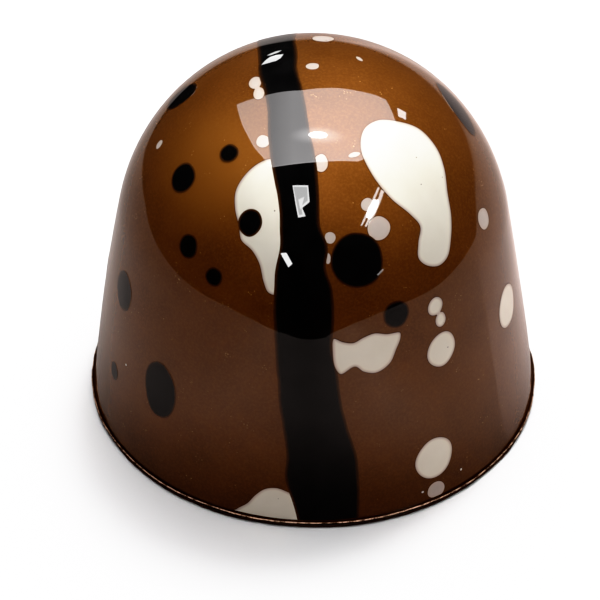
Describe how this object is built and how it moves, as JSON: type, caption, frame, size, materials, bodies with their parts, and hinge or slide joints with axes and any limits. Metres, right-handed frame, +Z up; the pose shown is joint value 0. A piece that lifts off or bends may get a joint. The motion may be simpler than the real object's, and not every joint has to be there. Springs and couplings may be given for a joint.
{
  "type": "chocolate praline",
  "caption": "Glossy moulded chocolate praline, a tall dome with a dark stripe and ivory and dark drops of coloured cocoa butter.",
  "frame": {"origin": "centre of the flat underside, at the base of the bounding box", "axes": "+Z up along the dome's axis of revolution; the best side, with the widest part of the stripe, faces -Y"},
  "size_m": [0.028, 0.028, 0.0243],
  "materials": {
    "milk_shell": "glossy chocolate shell tinted bronze brown",
    "closing_layer": "dark chocolate closing layer, satin edge",
    "dark_film": "glossy black-brown cocoa butter",
    "ivory_film": "glossy ivory cocoa butter"
  },
  "bodies": {
    "root": {"shell": "milk_shell", "closing_layer": "closing_layer", "dark_stripe": "dark_film", "dark_drop_large": "dark_film", "dark_drop_on_crescent": "dark_film", "dark_drop_upper_left": "dark_film", "dark_drop_top_left": "dark_film", "dark_drop_left": "dark_film", "dark_drop_small_left": "dark_film", "dark_drop_right": "dark_film", "dark_drop_side_left": "dark_film", "dark_drop_low_left": "dark_film", "dark_drop_far_left": "dark_film", "dark_drop_rim_left": "dark_film", "dark_streak_rim_right": "dark_film", "dark_drop_back_high": "dark_film", "dark_drop_back_low": "dark_film", "dark_drop_back_left": "dark_film", "dark_drop_back_right": "dark_film", "white_splash_fish": "ivory_film", "white_splash_pear": "ivory_film", "white_splash_crescent": "ivory_film", "white_splash_foot": "ivory_film", "white_splash_back": "ivory_film", "white_splash_side": "ivory_film", "white_twin_right": "ivory_film", "white_twin_crown": "ivory_film", "white_drop_low_right": "ivory_film", "white_drop_foot_right": "ivory_film", "white_drop_middle_right": "ivory_film", "white_drop_far_right": "ivory_film", "white_drop_upper_right": "ivory_film", "white_drop_by_pear": "ivory_film", "white_drop_crown": "ivory_film", "white_drop_rim_back": "ivory_film", "white_drop_right_back": "ivory_film", "white_drop_left_back": "ivory_film", "white_drop_low_left": "ivory_film", "white_drop_low_back": "ivory_film", "white_drop_side_back": "ivory_film"}
  },
  "joints": []
}
